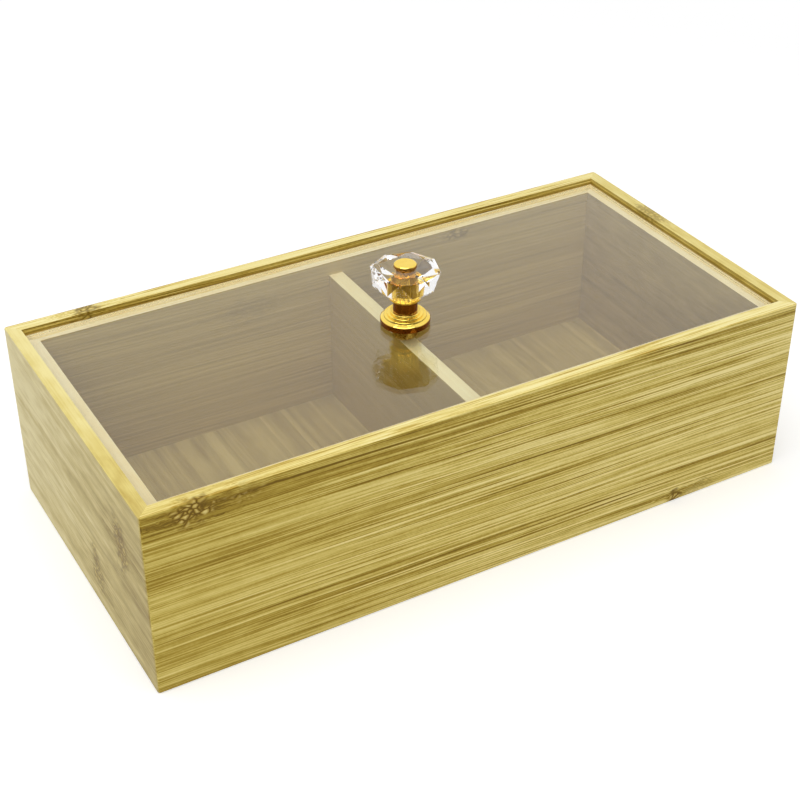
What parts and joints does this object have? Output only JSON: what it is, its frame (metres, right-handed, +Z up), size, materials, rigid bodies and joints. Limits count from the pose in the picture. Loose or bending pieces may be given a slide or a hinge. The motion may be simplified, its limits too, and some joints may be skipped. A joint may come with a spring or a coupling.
{
  "type": "lidded compartment box",
  "caption": "Low rectangular bamboo box with mitred walls, a fixed divider and a clear lift-off lid panel carrying a faceted crystal knob on a turned brass base.",
  "frame": {"origin": "middle of the box's footprint, on the surface it stands on", "axes": "+X along the box's length to the right, +Y from the front wall to the back wall, +Z up"},
  "size_m": [0.21, 0.1046, 0.076],
  "materials": {
    "bamboo": "satin lacquer over edge-grain bamboo",
    "bamboo_base": "satin",
    "clear_panel": "clear polished acrylic",
    "crystal": "clear cut crystal",
    "gold_brass": "polished and lacquered",
    "screw_steel": "zinc plated"
  },
  "bodies": {
    "box": {"front_wall": "bamboo", "back_wall": "bamboo", "left_wall": "bamboo", "right_wall": "bamboo", "base_panel": "bamboo_base", "divider": "bamboo_base"},
    "lid": {"lid_panel": "clear_panel", "knob_base": "gold_brass", "knob_cup": "gold_brass", "knob_crystal": "crystal", "knob_cap": "gold_brass", "lid_screw": "screw_steel", "screw_washer": "screw_steel"}
  },
  "joints": [
    {"name": "lid_lift", "type": "slide", "parent": "box", "child": "lid", "axis": [0, 0, 1], "range_m": [0, 0.08]}
  ]
}
